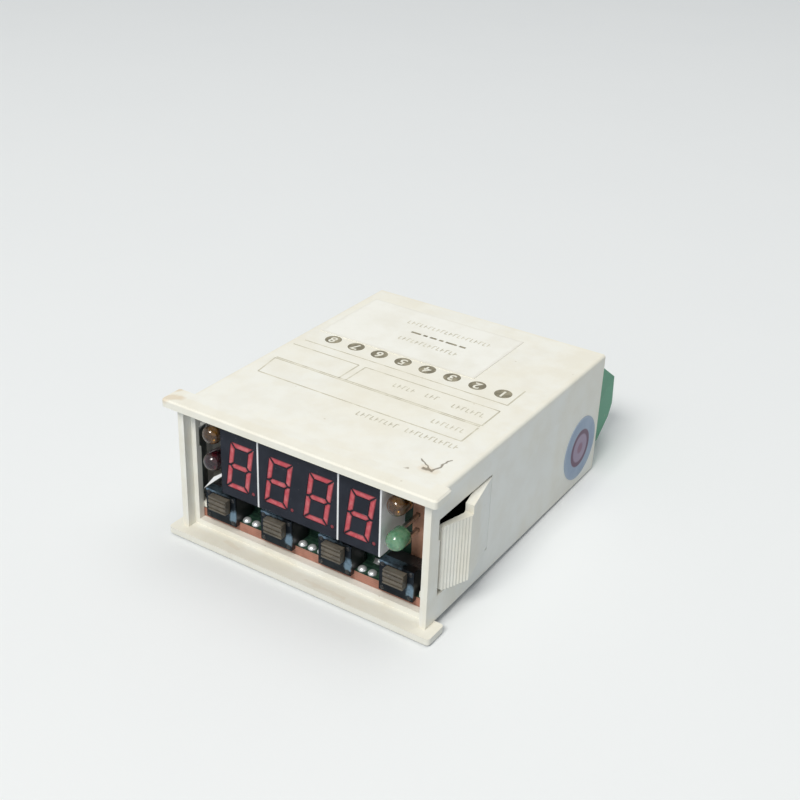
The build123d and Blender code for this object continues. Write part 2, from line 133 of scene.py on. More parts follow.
def blend_colours(tree, share, first, second):
    """A mix of two colours by a share from 0 to 1."""
    return put(tree, "ShaderNodeMix", {"data_type": "RGBA"}, i0=share, i6=first, i7=second).outputs[2]


def tinted(tree, base, mask, share, colour):
    """A base colour that a mask takes towards another colour, by a share of the way."""
    return blend_colours(tree, maths(tree, "MULTIPLY", mask, share), base, colour)


def fade(tree, value, low, high):
    """0 below low, 1 above high and a smooth step between; with low above high it falls instead."""
    step = put(tree, "ShaderNodeMapRange", {"interpolation_type": "SMOOTHSTEP"}, Value=value)
    step.inputs["From Min"].default_value = low
    step.inputs["From Max"].default_value = high
    return step.outputs[0]


def own_place(tree):
    """The piece's own Object coordinates."""
    return put(tree, "ShaderNodeTexCoord").outputs["Object"]


def cloudy(tree, coords, scale, **sockets):
    """A noise texture on some coordinates."""
    return put(tree, "ShaderNodeTexNoise", Vector=coords, Scale=scale, **sockets).outputs


# %% [markdown]
# ## Effects that several finishes share
# Real surfaces vary: colour drifts, moulded skin has a grain, dust sits in specks, and edges wear or gather
# dirt. Each effect is a node group built once, reading the piece's own Object coordinates, and every finish
# sets its own amounts. The edge band needs no smooth mesh: it measures how near a point is to two faces of a
# box at once.

# %% Group maker
def effect(name, values, results):
    """A shader node group with named inputs and outputs. Returns its tree, and the sockets of its input and
    output nodes."""
    tree = bpy.data.node_groups.new(name, "ShaderNodeTree")
    for label, kind, value in values:
        socket = tree.interface.new_socket(label, in_out="INPUT", socket_type=kind)
        socket.default_value = value
    for label, kind in results:
        tree.interface.new_socket(label, in_out="OUTPUT", socket_type=kind)
    return tree, tree.nodes.new("NodeGroupInput").outputs, tree.nodes.new("NodeGroupOutput").inputs


def use(tree, group, **sockets):
    """Places an effect in a finish and returns its outputs."""
    return put(tree, "ShaderNodeGroup", {"node_tree": group}, **sockets).outputs


FLOAT, COLOUR, VECTOR = "NodeSocketFloat", "NodeSocketColor", "NodeSocketVector"
WHITE, BLACK = (1, 1, 1, 1), (0, 0, 0, 1)

# %% Mottle: slow drift between two colours
mottle, given, result = effect(
    "mottle",
    [("First", COLOUR, WHITE), ("Second", COLOUR, BLACK), ("Scale", FLOAT, 100.0), ("Amount", FLOAT, 0.5)],
    [("Color", COLOUR), ("Mask", FLOAT)],
)
first_until, second_from = 0.38, 0.66
cloud = cloudy(mottle, own_place(mottle), given["Scale"], Detail=5.0, Roughness=0.6)[0]
share = maths(mottle, "MULTIPLY", fade(mottle, cloud, first_until, second_from), given["Amount"])
mottle.links.new(blend_colours(mottle, share, given["First"], given["Second"]), result["Color"])
mottle.links.new(share, result["Mask"])


def mottled(tree, first, second, scale, amount):
    """A colour that drifts from the first to the second."""
    return use(tree, mottle, First=first, Second=second, Scale=scale, Amount=amount)["Color"]


# %% Grain: fine relief of a moulded or printed skin, with its gloss
grain, given, result = effect(
    "grain",
    [("Scale", FLOAT, 3000.0), ("Gloss", FLOAT, 0.5), ("Swing", FLOAT, 0.1)],
    [("Height", FLOAT), ("Roughness", FLOAT)],
)
slow_scale_share, slow_height = 0.06, 0.5
coords = own_place(grain)
fine = cloudy(grain, coords, given["Scale"], Detail=3.0, Roughness=0.55)[0]
slow_scale = maths(grain, "MULTIPLY", given["Scale"], slow_scale_share)
slow = cloudy(grain, coords, slow_scale, Detail=3.0)[0]
grain.links.new(maths(grain, "ADD", maths(grain, "MULTIPLY", slow, slow_height), fine), result["Height"])
drift = maths(grain, "MULTIPLY", maths(grain, "SUBTRACT", slow, 0.5), given["Swing"])
grain.links.new(maths(grain, "ADD", given["Gloss"], drift, clamp=True), result["Roughness"])

# %% Specks: scattered round dust or dirt spots
specks, given, result = effect(
    "specks",
    [("Scale", FLOAT, 800.0), ("Size", FLOAT, 0.16), ("Share", FLOAT, 0.35)],
    [("Mask", FLOAT)],
)
cells = put(specks, "ShaderNodeTexVoronoi", Vector=own_place(specks), Scale=given["Scale"]).outputs
spot = maths(specks, "LESS_THAN", cells["Distance"], given["Size"])
pick = put(specks, "ShaderNodeSeparateColor", Color=cells["Color"]).outputs[0]
kept = maths(specks, "LESS_THAN", pick, given["Share"])
specks.links.new(maths(specks, "MULTIPLY", spot, kept), result["Mask"])

# %% Edge band: near two faces of a box at once
edge_band, given, result = effect(
    "edge_band",
    [
        ("Low", VECTOR, (0, 0, 0)), ("High", VECTOR, (1, 1, 1)),
        ("Width", FLOAT, 0.001), ("Ragged", FLOAT, 900.0),
    ],
    [("Mask", FLOAT)],
)
coords = own_place(edge_band)
from_low = vectors(edge_band, "SUBTRACT", i0=coords, i1=given["Low"])
from_high = vectors(edge_band, "SUBTRACT", i0=given["High"], i1=coords)
nearer = vectors(edge_band, "MINIMUM", i0=from_low, i1=from_high)
near_x, near_y, near_z = put(edge_band, "ShaderNodeSeparateXYZ", Vector=nearer).outputs
lesser = maths(edge_band, "MINIMUM", near_x, near_y)
greater = maths(edge_band, "MAXIMUM", near_x, near_y)
second = maths(edge_band, "MAXIMUM", lesser, maths(edge_band, "MINIMUM", greater, near_z))
torn = cloudy(edge_band, coords, given["Ragged"], Detail=4.0)[0]
reach = maths(edge_band, "MULTIPLY", given["Width"], maths(edge_band, "MULTIPLY", torn, 2.0))
edge_band.links.new(fade(edge_band, maths(edge_band, "DIVIDE", second, reach), 1.0, 0.3), result["Mask"])

# %% Line mark: near a straight scratch between two points
line_mark, given, result = effect(
    "line_mark",
    [("Start", VECTOR, (0, 0, 0)), ("End", VECTOR, (1, 0, 0)), ("Width", FLOAT, 0.0003)],
    [("Mask", FLOAT)],
)
shake, shake_scale = Vector((1.2, 1.2, 0.0)) * MM, 900.0
coords = own_place(line_mark)
wobble = cloudy(line_mark, coords, shake_scale, Detail=4.0)["Color"]
shaken = vectors(line_mark, "MULTIPLY_ADD", i0=wobble, i1=shake, i2=coords)
place = vectors(line_mark, "SUBTRACT", i0=shaken, i1=shake / 2)
run = vectors(line_mark, "SUBTRACT", i0=given["End"], i1=given["Start"])
away = vectors(line_mark, "SUBTRACT", i0=place, i1=given["Start"])
dot = vectors(line_mark, "DOT_PRODUCT", i0=away, i1=run)
square = vectors(line_mark, "DOT_PRODUCT", i0=run, i1=run)
foot = vectors(line_mark, "SCALE", i0=run, Scale=maths(line_mark, "DIVIDE", dot, square, clamp=True))
gap = vectors(line_mark, "DISTANCE", i0=away, i1=foot)
line_mark.links.new(
    fade(line_mark, maths(line_mark, "DIVIDE", gap, given["Width"]), 1.0, 0.35), result["Mask"]
)
print("shared effects:", [group.name for group in (mottle, grain, specks, edge_band, line_mark)])

# %% [markdown]
# ## Starting a finish
# Every finish begins with the same few sockets on the main shader: how rough, how metallic, how coated. What
# is the same all over is set there directly. A helper then joins a colour and a grain, so that the cells
# below only say what is special about each one.

# %% Finish helpers
finishes = {}


def start_finish(name, metallic=0.0, **sockets):
    """A new material with its shader set: returns the tree and the shader node."""
    material = bpy.data.materials.new(name)
    material.use_nodes = True
    tree = material.node_tree
    shader = tree.nodes["Principled BSDF"]
    shader.inputs["Metallic"].default_value = metallic
    for socket, value in sockets.items():
        shader.inputs[socket.replace("_", " ")].default_value = value
    finishes[name] = material
    return tree, shader


def join_finish(tree, shader, colour, scale, gloss, swing, relief, depth):
    """Feeds a colour, a grain's gloss and its relief to a shader: relief is the bump's strength, depth its
    height in mm."""
    skin = use(tree, grain, Scale=scale, Gloss=gloss, Swing=swing)
    tree.links.new(colour, shader.inputs["Base Color"])
    tree.links.new(skin["Roughness"], shader.inputs["Roughness"])
    bump = put(tree, "ShaderNodeBump", Strength=relief, Distance=depth * MM, Height=skin["Height"])
    tree.links.new(bump.outputs[0], shader.inputs["Normal"])


# %% [markdown]
# ## The ivory case
# The case is an old ivory moulding: matt, a little yellowed, dirtier on its lips and edges. Near the front
# right corner of the top something hard has scuffed it and left a forked brown crease, and there is a dark
# speck beside it. Inside, the walls and the inner face of the left latch, which shows beside the LEDs, are
# painted dark: painted shade where little light reaches, with some dust. Colour drift, edge bands and line
# marks build all of that on the case's own coordinates, and the crease also goes into the relief, so that it
# reads as a groove.

# %% Ivory colour
tree, shader = start_finish("ivory_moulding", Specular_IOR_Level=0.4)
clean, aged, grime = paint(241, 240, 233), paint(238, 232, 215), paint(176, 160, 134)
body_low, body_high = Vector((-22.4, -2.7, -11.0)) * MM, Vector((22.4, 52.0, 11.0)) * MM
lip_low, lip_high = Vector((-24.0, -4.2, -12.0)) * MM, Vector((24.0, 1.0, 12.0)) * MM
base = mottled(tree, clean, aged, 60.0, 0.5)
body_edges = use(tree, edge_band, Low=body_low, High=body_high, Width=1.2 * MM, Ragged=500.0)["Mask"]
lip_edges = use(tree, edge_band, Low=lip_low, High=lip_high, Width=1.1 * MM, Ragged=420.0)["Mask"]
base = tinted(tree, base, maths(tree, "MAXIMUM", body_edges, lip_edges), 0.4, aged)
dust = use(tree, specks, Scale=520.0, Size=0.09, Share=0.08)["Mask"]
smear = use(tree, mottle, Scale=240.0, Amount=0.06)["Mask"]
base = blend_colours(tree, maths(tree, "ADD", maths(tree, "MULTIPLY", dust, 0.3), smear), base, grime)


# %% Marks on the case
def marked(tree, lines):
    """The joint mask of several line marks, each a start and an end in mm and a width in mm."""
    joint = None
    for start, end, width in lines:
        ends = {"Start": Vector(start) * MM, "End": Vector(end) * MM}
        mask = use(tree, line_mark, Width=width * MM, **ends)["Mask"]
        joint = mask if joint is None else maths(tree, "MAXIMUM", joint, mask)
    return joint


body_top, lip_top, sill_top = 11.0, 12.0, -10.7
crease = marked(tree, [
    ((15.7, 5.5, body_top), (18.5, 3.3, body_top), 0.2),
    ((17.3, 3.5, body_top), (18.5, 3.4, body_top), 0.42),
    ((18.6, 3.5, body_top), (19.3, 7.6, body_top), 0.27),
])
halo = marked(tree, [((17.2, 3.5, body_top), (18.9, 3.6, body_top), 1.2)])
dark_specks = marked(tree, [
    ((15.2, 2.1, body_top), (15.5, 2.2, body_top), 0.3),
    ((21.9, -2.7, -2.4), (21.9, -2.7, -2.2), 0.22),
])
corner_dirt = marked(tree, [
    ((-23.6, -3.8, lip_top), (-21.8, -2.4, lip_top), 1.1),
    ((-23.8, -1.0, lip_top), (-23.0, 0.8, lip_top), 0.7),
])
lip_stain = marked(tree, [
    ((2.0, -3.0, sill_top), (9.0, -3.4, sill_top), 0.5),
    ((-14.0, -2.2, sill_top), (-11.5, -2.6, sill_top), 0.5),
])

# %% Painted shade inside the case, with some dust, and all layers together
# Where the painted shade lies: behind the front, within the walls, and on the inner face of the left latch.
shade_left, shade_right, shade_height, shade_rear = -22.35, 21.5, 10.6, 51.0
shade_starts, shade_full = 0.9, 1.5
x, y, z = put(tree, "ShaderNodeSeparateXYZ", Vector=own_place(tree)).outputs
inside_shade = fade(tree, y, shade_starts * MM, shade_full * MM)
for within in (
    maths(tree, "GREATER_THAN", x, shade_left * MM),
    maths(tree, "LESS_THAN", x, shade_right * MM),
    maths(tree, "LESS_THAN", maths(tree, "ABSOLUTE", z), shade_height * MM),
    maths(tree, "LESS_THAN", y, shade_rear * MM),
):
    inside_shade = maths(tree, "MULTIPLY", inside_shade, within)
corner_dirt = maths(tree, "MULTIPLY", corner_dirt, 0.4)
lip_stain = maths(tree, "MULTIPLY", lip_stain, 0.14)
# Painted shade: the walls inside the case and the inner face of the left latch are taken dark, with some
# dust.
base = tinted(tree, base, inside_shade, 0.9, paint(62, 70, 70))
base = tinted(tree, base, halo, 0.3, paint(222, 196, 164))
base = blend_colours(tree, maths(tree, "MAXIMUM", corner_dirt, lip_stain), base, paint(206, 176, 136))
base = tinted(tree, base, crease, 0.75, paint(98, 82, 56))
base = tinted(tree, base, dark_specks, 0.6, paint(120, 100, 76))
join_finish(tree, shader, base, scale=2600.0, gloss=0.55, swing=0.25, relief=0.18, depth=0.03)
groove = put(tree, "ShaderNodeBump", {"invert": True}, Strength=0.6, Distance=0.1 * MM, Height=crease)
tree.links.new(shader.inputs["Normal"].links[0].from_socket, groove.inputs["Normal"])
tree.links.new(groove.outputs[0], shader.inputs["Normal"])
print("case finish:", len(tree.nodes), "nodes")

# %% [markdown]
# ## The displays
# Each display module is a white moulding with a dark face and windows of diffuse red resin. Unlit, a segment
# is painted pinkish in its middle, as painted light where light goes into the resin, and painted dark red
# along its rim, as painted shade. How far a point is from the rim comes with the segment pieces as an
# attribute that carries this painted light and shade. The face is a dark slate print with some lint.

# %% Display finishes
tree, shader = start_finish("display_white", Specular_IOR_Level=0.5)
white = mottled(tree, paint(242, 242, 243), paint(224, 223, 222), 320.0, 0.6)
join_finish(tree, shader, white, scale=4000.0, gloss=0.38, swing=0.2, relief=0.08, depth=0.02)

tree, shader = start_finish("display_slate", Specular_IOR_Level=0.25)
slate = mottled(tree, paint(27, 30, 40), paint(38, 41, 51), 260.0, 0.8)
lint = use(tree, specks, Scale=1500.0, Size=0.12, Share=0.12)["Mask"]
slate = tinted(tree, slate, lint, 0.35, paint(120, 118, 116))
join_finish(tree, shader, slate, scale=6000.0, gloss=0.5, swing=0.2, relief=0.1, depth=0.01)

tree, shader = start_finish(
    "segment_red", Subsurface_Weight=0.15, Subsurface_Scale=0.4 * MM, Specular_IOR_Level=0.5
)
red = mottled(tree, paint(196, 70, 80), paint(210, 112, 116), 900.0, 0.9)
# Painted light and shade: a segment is paler in its middle and dark red at its rim, by the attribute that the
# windows carry.
painted_glow = put(tree, "ShaderNodeAttribute", {"attribute_name": "painted_glow"}).outputs["Fac"]
red = blend_colours(tree, painted_glow, paint(112, 32, 42), red)
join_finish(tree, shader, red, scale=5000.0, gloss=0.32, swing=0.2, relief=0.1, depth=0.02)
print("display finishes set")

# %% [markdown]
# ## The boards
# Both boards are brown paper laminate with a dark green mask. The mask covers the flat faces; the sawn edges
# stay brown and show their layers, and so does a bare strip at the end of the upright board, beside the right
# LEDs, painted paler than the edges as painted light, because it stands in shade. A mask on one coordinate
# tells edge from face, and thin paler lines stand for copper under the mask.

# %% Board finishes
green_skin = 0.03


def board_finish(name, axis, low, high, bare_from, bare_under, first, second):
    """Laminate in two browns with a green mask on its faces, that is within the thickness of the skin of
    them along axis. The mask leaves a bare patch to the right of one X and under one Z. All in mm."""
    tree, shader = start_finish(name, Specular_IOR_Level=0.45)
    coords = own_place(tree)
    places = put(tree, "ShaderNodeSeparateXYZ", Vector=coords).outputs
    middle, half = (low + high) / 2 * MM, (high - low) / 2 * MM
    depth = maths(tree, "ABSOLUTE", maths(tree, "SUBTRACT", places[axis], middle))
    covered = maths(tree, "GREATER_THAN", depth, half - green_skin * MM)
    beside = maths(tree, "GREATER_THAN", places["X"], bare_from * MM)
    bare = maths(tree, "MULTIPLY", beside, maths(tree, "LESS_THAN", places["Z"], bare_under * MM))
    covered = maths(tree, "SUBTRACT", covered, bare, clamp=True)
    bands = {"Vector": coords, "Scale": 900.0, "Distortion": 2.0, "Detail": 2.0}
    layers = put(tree, "ShaderNodeTexWave", {"bands_direction": axis}, **bands).outputs[1]
    brown = mottled(tree, first, second, 420.0, 0.9)
    brown = tinted(tree, brown, layers, 0.35, paint(200, 146, 126))
    tracks = {"Vector": coords, "Scale": 300.0, "Mortar_Size": 0.05}
    copper = put(tree, "ShaderNodeTexBrick", Color1=BLACK, Color2=BLACK, Mortar=WHITE, **tracks)
    green = mottled(tree, paint(38, 66, 54), paint(24, 48, 42), 500.0, 0.8)
    green = tinted(tree, green, copper.outputs["Fac"], 0.4, paint(72, 104, 82))
    colour = blend_colours(tree, covered, brown, green)
    join_finish(tree, shader, colour, scale=4200.0, gloss=0.45, swing=0.3, relief=0.2, depth=0.02)


main_low, main_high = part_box("main_board")
upright_low, upright_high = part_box("display_board")
sawn_edge = paint(176, 122, 105), paint(144, 95, 79)
# The bare strip beside the right LEDs is painted paler than the sawn edges: painted light where it stands in
# shade.
painted_light_strip = paint(200, 150, 122), paint(166, 116, 92)
no_patch, strip_patch = (100.0, 0.0), (15.6, 5.0)
board_finish("main_laminate", "Z", main_low[2] / MM, main_high[2] / MM, *no_patch, *sawn_edge)
board_finish("upright_laminate", "Y", upright_low[1] / MM, upright_high[1] / MM, *strip_patch, *painted_light_strip)
print("boards from", [round(v / MM, 2) for v in main_low], "and", [round(v / MM, 2) for v in upright_low])

# %% [markdown]
# ## Switches and metals
# The switches have a glossy black housing and brown-grey plungers. Solder, wire, leaf springs and screws are
# metals with fine brushing, each with its own brightness. Solder that has gone dull on its skin scatters part
# of the light, so it counts as half metal and stays pale from every side.

# %% Dark mouldings and plungers
def plain_moulding(name, first, second, scale, gloss, relief, dust_share=0.15):
    """A moulded plastic: two close colours in a drift, dust specks and a grain."""
    tree, shader = start_finish(name, Specular_IOR_Level=0.5)
    colour = mottled(tree, first, second, scale, 0.8)
    lint = use(tree, specks, Scale=1300.0, Size=0.14, Share=dust_share)["Mask"]
    colour = tinted(tree, colour, lint, 0.3, paint(150, 146, 138))
    join_finish(tree, shader, colour, scale=3600.0, gloss=gloss, swing=0.25, relief=relief, depth=0.02)


plain_moulding("switch_black", paint(30, 30, 32), paint(46, 45, 45), 400.0, 0.3, 0.12, dust_share=0.3)
plain_moulding("plunger_brown", paint(108, 100, 88), paint(82, 76, 68), 700.0, 0.45, 0.15)
plain_moulding("ferrite_grey", paint(52, 52, 55), paint(40, 40, 42), 300.0, 0.7, 0.3)
plain_moulding("sleeve_blue", paint(34, 38, 60), paint(24, 27, 46), 200.0, 0.3, 0.08)


# %% Metals
def worked_metal(name, bright, dull, gloss, stretch, scale, metallic=1.0):
    """A metal whose brushing is a noise stretched along one axis, with dull patches."""
    tree, shader = start_finish(name, metallic=metallic)
    drawn = put(tree, "ShaderNodeMapping", Vector=own_place(tree), Scale=stretch).outputs[0]
    brushing = cloudy(tree, drawn, scale, Detail=4.0)[0]
    tree.links.new(mottled(tree, bright, dull, 450.0, 0.8), shader.inputs["Base Color"])
    rough = maths(tree, "ADD", maths(tree, "MULTIPLY", brushing, 0.2), gloss - 0.1)
    tree.links.new(rough, shader.inputs["Roughness"])
    bump = put(tree, "ShaderNodeBump", Strength=0.12, Distance=0.02 * MM, Height=brushing)
    tree.links.new(bump.outputs[0], shader.inputs["Normal"])


pale_solder, dull_solder = paint(240, 241, 242), paint(206, 207, 208)
worked_metal("bright_solder", pale_solder, dull_solder, 0.32, (1, 1, 1), 1500.0, metallic=0.55)
worked_metal("tinned_wire", paint(212, 210, 204), paint(170, 168, 160), 0.3, (1, 6, 1), 2000.0)
worked_metal("zinc_plate", paint(208, 204, 190), paint(160, 156, 144), 0.32, (6, 1, 1), 1600.0)
worked_metal("spring_steel", paint(196, 196, 198), paint(150, 150, 152), 0.28, (1, 1, 6), 1800.0)
print("finishes so far:", list(finishes))

# %% [markdown]
# ### Switch covers
# The thin steel is painted dark, a painted reflection of the dark inside of the case that it mirrors. A
# painted pale blue highlight lies along its folded top edge, more to the left, and on the right bar beside
# the plunger. Two fades along X and Z mark those places on every cover at once, because the fraction of X
# divided by the switches' spacing starts again at each switch.

# %% Cover steel
tree, shader = start_finish("cover_steel", metallic=1.0)
cover_boxes = [np.array(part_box(f"switch_cover_{number}")) for number in (1, 4)]
cover_step = float(cover_boxes[1][0, 0] - cover_boxes[0][0, 0]) / 3
cover_low, cover_high = cover_boxes[0].tolist()
x, _, z = put(tree, "ShaderNodeSeparateXYZ", Vector=own_place(tree)).outputs
across = maths(tree, "FRACT", maths(tree, "DIVIDE", maths(tree, "SUBTRACT", x, cover_low[0]), cover_step))


def level_fade(edge, low, high):
    """A fade along Z between two levels in mm above one edge of the cover."""
    return fade(tree, z, edge + low * MM, edge + high * MM)


# Painted highlight: pale blue on the right bar beside the plunger and along the folded top edge.
bar = maths(tree, "MULTIPLY", fade(tree, across, 0.40, 0.46), level_fade(cover_low[2], 3.4, 2.2))
bar = maths(tree, "MULTIPLY", bar, level_fade(cover_low[2], 0.5, 1.2))
fold = maths(tree, "MULTIPLY", level_fade(cover_high[2], -0.6, -0.2), fade(tree, across, 0.5, 0.2))
painted_gleam = maths(tree, "MAXIMUM", fold, maths(tree, "MULTIPLY", bar, 1.3))
patch = use(tree, mottle, Scale=1300.0, Amount=0.6)["Mask"]
painted_gleam = maths(tree, "SUBTRACT", painted_gleam, patch, clamp=True)
# Painted reflection: the steel is dark as the inside of the case that it mirrors, with the painted highlight
# on top.
steel = mottled(tree, paint(52, 58, 64), paint(36, 40, 46), 700.0, 0.8)
steel = blend_colours(tree, painted_gleam, steel, paint(136, 160, 178))
join_finish(tree, shader, steel, scale=2600.0, gloss=0.36, swing=0.3, relief=0.15, depth=0.02)
print("switch spacing:", round(cover_step / MM, 2), "mm")

# %% [markdown]
# ### Terminals
# The plug and its header are a green moulding, matt from handling and paler where the edges were rubbed.

# %% Green terminals
tree, shader = start_finish("terminal_green", Specular_IOR_Level=0.5)
green = mottled(tree, paint(90, 158, 122), paint(78, 142, 106), 160.0, 0.8)
plug_low, plug_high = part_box("terminal_plug")
worn = use(tree, edge_band, Low=plug_low, High=plug_high, Width=0.7 * MM, Ragged=700.0)["Mask"]
green = tinted(tree, green, worn, 0.4, paint(150, 190, 164))
lint = use(tree, specks, Scale=700.0, Size=0.12, Share=0.15)["Mask"]
green = tinted(tree, green, lint, 0.3, paint(190, 186, 170))
join_finish(tree, shader, green, scale=2800.0, gloss=0.42, swing=0.2, relief=0.15, depth=0.03)

# %% [markdown]
# ## Stickers
# The paper sticker on the top is a colder white than the case, with a fibre grain and a greyed rim. The round
# sticker on the side is blue-grey film with a plain maroon ring and dot: the distance from the middle of the
# sticker gives both, so no picture is needed.

# %% Paper sticker
tree, shader = start_finish("sticker_paper", Specular_IOR_Level=0.3)
paper_low, paper_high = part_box("top_sticker")
paper = mottled(tree, paint(243, 242, 236), paint(234, 231, 221), 130.0, 0.7)
rim_low = (paper_low[0], paper_low[1], 0.0)
rim = use(tree, edge_band, Low=rim_low, High=paper_high, Width=0.7 * MM, Ragged=500.0)["Mask"]
paper = tinted(tree, paper, rim, 0.15, paint(196, 186, 166))
join_finish(tree, shader, paper, scale=5200.0, gloss=0.72, swing=0.15, relief=0.25, depth=0.02)

# %% Round film
tree, shader = start_finish("round_film", Specular_IOR_Level=0.45)
film_low, film_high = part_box("round_sticker")
film_middle = (Vector(film_low) + Vector(film_high)) / 2
radius = vectors(tree, "LENGTH", i0=vectors(tree, "SUBTRACT", i0=own_place(tree), i1=film_middle))
film = mottled(tree, paint(158, 173, 192), paint(142, 159, 182), 300.0, 0.8)
inner_edge, ring_edge, dot_edge, rim_edge = (3.5, 3.2), (2.3, 2.7), (1.2, 0.7), (5.1, 5.5)
inner, ring, dot, pale_rim = (
    fade(tree, radius, start * MM, end * MM) for start, end in (inner_edge, ring_edge, dot_edge, rim_edge)
)
film = tinted(tree, film, inner, 0.8, paint(158, 128, 150))
film = tinted(tree, film, maths(tree, "MULTIPLY", ring, inner), 0.9, paint(96, 54, 78))
film = tinted(tree, film, dot, 0.6, paint(128, 66, 88))
film = tinted(tree, film, pale_rim, 0.35, paint(176, 184, 196))
join_finish(tree, shader, film, scale=3000.0, gloss=0.4, swing=0.2, relief=0.08, depth=0.01)
print("round sticker's middle:", [round(v / MM, 2) for v in film_middle])

# %% [markdown]
# ## LED resin
# The upper LEDs are amber and the lower left one a deep red, all clear tinted resin with a bright point of
# light on the dome. The lower right one is a milky green. The clear ones let light through to the metal cup
# inside, and the milky one scatters it just under its skin.

# %% Resin finishes
def clear_resin(name, tint, deep):
    """Tinted clear resin: the colour drifts a little from rim to rim, with a smooth coat of its own."""
    tree, shader = start_finish(
        name, Transmission_Weight=0.85, IOR=1.5, Coat_Weight=0.6, Coat_Roughness=0.03
    )
    colour = mottled(tree, tint, deep, 380.0, 0.7)
    join_finish(tree, shader, colour, scale=1800.0, gloss=0.08, swing=0.08, relief=0.03, depth=0.01)


clear_resin("amber_resin", paint(156, 106, 42), paint(104, 68, 28))
clear_resin("red_resin", paint(92, 28, 42), paint(58, 18, 28))
tree, shader = start_finish(
    "green_resin", Subsurface_Weight=0.3, Subsurface_Scale=0.6 * MM, Transmission_Weight=0.5, IOR=1.5,
    Coat_Weight=0.6, Coat_Roughness=0.04,
)
milky = mottled(tree, paint(156, 206, 168), paint(100, 162, 120), 620.0, 0.9)
join_finish(tree, shader, milky, scale=1800.0, gloss=0.16, swing=0.1, relief=0.04, depth=0.01)
print("finishes:", len(finishes))

# %% [markdown]
# ## Giving the solids their finishes
# Each solid keeps its shape and only changes its material. The record says which slot a node belongs to, so a
# short table from slot to finish dresses all of them, and the upright board is set by name.

# %% Dress the solids
finish_of_slot = {
    "ivory_plastic": "ivory_moulding", "solder": "bright_solder", "tinned_wire": "tinned_wire",
    "white_plastic": "display_white", "display_face": "display_slate", "red_segment": "segment_red",
    "amber_led": "amber_resin", "red_led": "red_resin", "green_led": "green_resin",
    "black_plastic": "switch_black", "cover_steel": "cover_steel", "brown_plastic": "plunger_brown",
    "leaf_steel": "spring_steel", "green_plastic": "terminal_green", "plated_steel": "zinc_plate",
    "ferrite": "ferrite_grey", "capacitor_sleeve": "sleeve_blue", "white_paper": "sticker_paper",
    "sticker_film": "round_film", "phenolic_board": "main_laminate",
}
for part in frame["record"]["subparts"]:
    chosen = finish_of_slot[part["material_slot"]]
    if part["node"] == "display_board":
        chosen = "upright_laminate"
    materials = frame["nodes"][part["node"]].data.materials
    materials.clear()
    materials.append(finishes[chosen])

# %% [markdown]
# ## Surfaces from arrays
# The new pieces are small turned or swept forms. A turned form needs a profile of radius and height and a
# circle; a swept one needs a closed outline and two ends. Numpy works out all the points of one at once, and
# one function hands the arrays to Blender, so no cell has to walk through points one by one.

# %% Mesh helpers
def make_piece(name, points, faces, finish, slot, body="case", smooth=True):
    """A mesh object from arrays of points in mm and lists of faces, riding on a body and dressed."""
    mesh = bpy.data.meshes.new(name)
    mesh.from_pydata((np.asarray(points) * MM).tolist(), [], faces)
    mesh.polygons.foreach_set("use_smooth", np.full(len(mesh.polygons), smooth))
    mesh.update()
    piece = bpy.data.objects.new(name, mesh)
    scene.collection.objects.link(piece)
    mesh.materials.append(finishes[finish])
    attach(piece, body)
    return piece


def lofted(rings, first, last):
    """A closed surface through a stack of rings with equal numbers of points, drawn together to a point at
    each end."""
    rings = np.asarray(rings)
    count, sides = rings.shape[:2]
    points = np.vstack([rings.reshape(-1, 3), first, last])
    here = np.arange(sides)
    after = (here + 1) % sides
    ring = np.arange(count - 1)[:, None] * sides
    quads = np.stack([ring + here, ring + after, ring + sides + after, ring + sides + here], -1)
    start_fan = np.stack([np.full(sides, count * sides), after, here], -1)
    outer = (count - 1) * sides
    end_fan = np.stack([np.full(sides, count * sides + 1), outer + here, outer + after], -1)
    return points, quads.reshape(-1, 4).tolist() + start_fan.tolist() + end_fan.tolist()


def turned(radii, heights, place, axis, sides=40):
    """A turned form. At angle t and step s the point is place + radius(s) (cos t, sin t) across and height(s)
    along axis; the first and last radius close to one point each."""
    place, along, across = np.array(place), np.array(axis, float), np.array((1.0, 0.0, 0.0))
    angle = np.linspace(0, 2 * np.pi, sides, endpoint=False)[:, None]
    circle = np.cos(angle) * across + np.sin(angle) * np.cross(along, across)
    radii, levels = np.asarray(radii), np.asarray(heights)[:, None] * along + place
    rings = radii[1:-1, None, None] * circle + levels[1:-1, None]
    return lofted(rings, levels[0], levels[-1])


def swept(outline, start, end):
    """A closed prism: each outline point goes from start + outline to end + outline, and both ends are
    faces."""
    outline = np.asarray(outline, float)
    count = len(outline)
    points = np.vstack([outline + np.array(start), outline + np.array(end)])
    here = np.arange(count)
    after = (here + 1) % count
    sides = np.stack([here, after, after + count, here + count], -1).tolist()
    return points, sides + [here[::-1].tolist(), (here + count).tolist()]


def gathered(shapes):
    """Several shapes as one: faces of each are moved on by the points before it."""
    counts = np.cumsum([0] + [len(points) for points, _ in shapes])
    points = np.vstack([points for points, _ in shapes])
    faces = [[int(i + start) for i in face] for (_, group), start in zip(shapes, counts) for face in group]
    return points, faces


# %% [markdown]
# ## Segment windows
# The solids of the segments are straight prisms. The real windows have a soft rim: resin shrinks a little as
# it sets, so its front dips towards the walls. The outline of each window is read from its solid; then
# smaller copies of it, with every edge moved inwards, make the steps of the soft rim. The rings carry the
# painted light of the middle and the painted shade of the rim; the dots get only a little painted light, so
# they stay dim.

# %% Outlines of the windows
front_depth = 0.05


